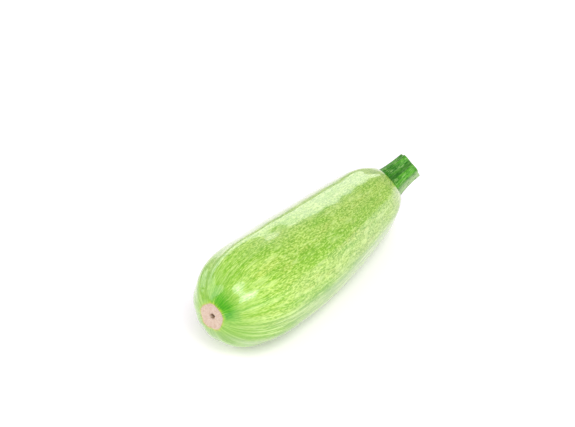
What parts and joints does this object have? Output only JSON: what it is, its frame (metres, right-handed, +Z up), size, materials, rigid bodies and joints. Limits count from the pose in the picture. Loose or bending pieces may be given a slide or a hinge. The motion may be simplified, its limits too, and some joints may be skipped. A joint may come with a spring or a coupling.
{
  "type": "zucchini",
  "caption": "Pale green summer squash with a round belly, slim neck, corky blossom scar and a ribbed green cut stem, lying on its belly.",
  "frame": {"origin": "on the surface the zucchini rests on, under the middle of its bounding box", "axes": "+X along the fruit from the blossom end towards the stem, +Z up, -Y the side that bows out"},
  "size_m": [0.1834, 0.0522, 0.051],
  "materials": {
    "skin": "waxy pale green skin with fine pale flecks, a pinkish corky scar at the blossom end",
    "stem": "matte green ribbed stalk, paler at its foot and at the dry cut"
  },
  "bodies": {
    "root": {"fruit": "skin", "stem": "stem"}
  },
  "joints": []
}
